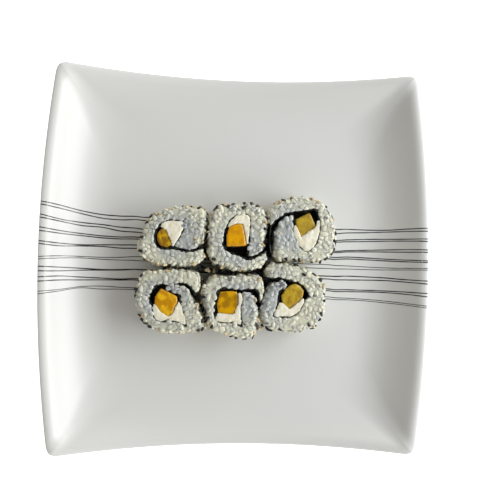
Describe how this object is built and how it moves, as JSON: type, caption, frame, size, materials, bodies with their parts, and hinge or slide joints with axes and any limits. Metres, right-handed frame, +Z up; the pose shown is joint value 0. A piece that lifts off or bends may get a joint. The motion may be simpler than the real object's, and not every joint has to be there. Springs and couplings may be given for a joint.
{
  "type": "maki sushi rolls on a square plate",
  "caption": "Cut sushi rolls with the rice outside and nori, cream cheese and mango inside, standing close together on a square white porcelain plate with raised, bowed sides.",
  "frame": {"origin": "middle of the plate's foot, on the surface that the plate stands on", "axes": "+Z up, X along the two rows of rolls and across the plate's two higher, bowed sides, +Y towards the rear row"},
  "size_m": [0.255, 0.251, 0.0338],
  "materials": {
    "glaze": "glossy white glaze with pairs of thin dark wavy lines across the middle",
    "rice": "moist cooked rice, slightly translucent, with soft gloss on each grain",
    "nori": "damp black-green seaweed sheet, faint sheen",
    "cream_cheese": "soft white cream cheese, smeared where the knife cut it",
    "mango": "wet golden mango flesh with faint fibres",
    "black_sesame": "black sesame seeds, dull",
    "toasted_sesame": "toasted sesame seeds, tan",
    "line_print": "dark grey lines fired under the glaze"
  },
  "bodies": {
    "root": {"plate": "glaze", "rice_rear_left": "rice", "nori_rear_left": "nori", "cream_cheese_rear_left": "cream_cheese", "mango_rear_left": "mango", "rice_rear_middle": "rice", "nori_rear_middle": "nori", "cream_cheese_rear_middle": "cream_cheese", "mango_rear_middle": "mango", "rice_rear_right": "rice", "nori_rear_right": "nori", "cream_cheese_rear_right": "cream_cheese", "mango_rear_right": "mango", "rice_front_left": "rice", "nori_front_left": "nori", "cream_cheese_front_left": "cream_cheese", "mango_front_left": "mango", "rice_front_middle": "rice", "nori_front_middle": "nori", "cream_cheese_front_middle": "cream_cheese", "mango_front_middle": "mango", "rice_front_right": "rice", "nori_front_right": "nori", "cream_cheese_front_right": "cream_cheese", "mango_front_right": "mango"}
  },
  "joints": []
}
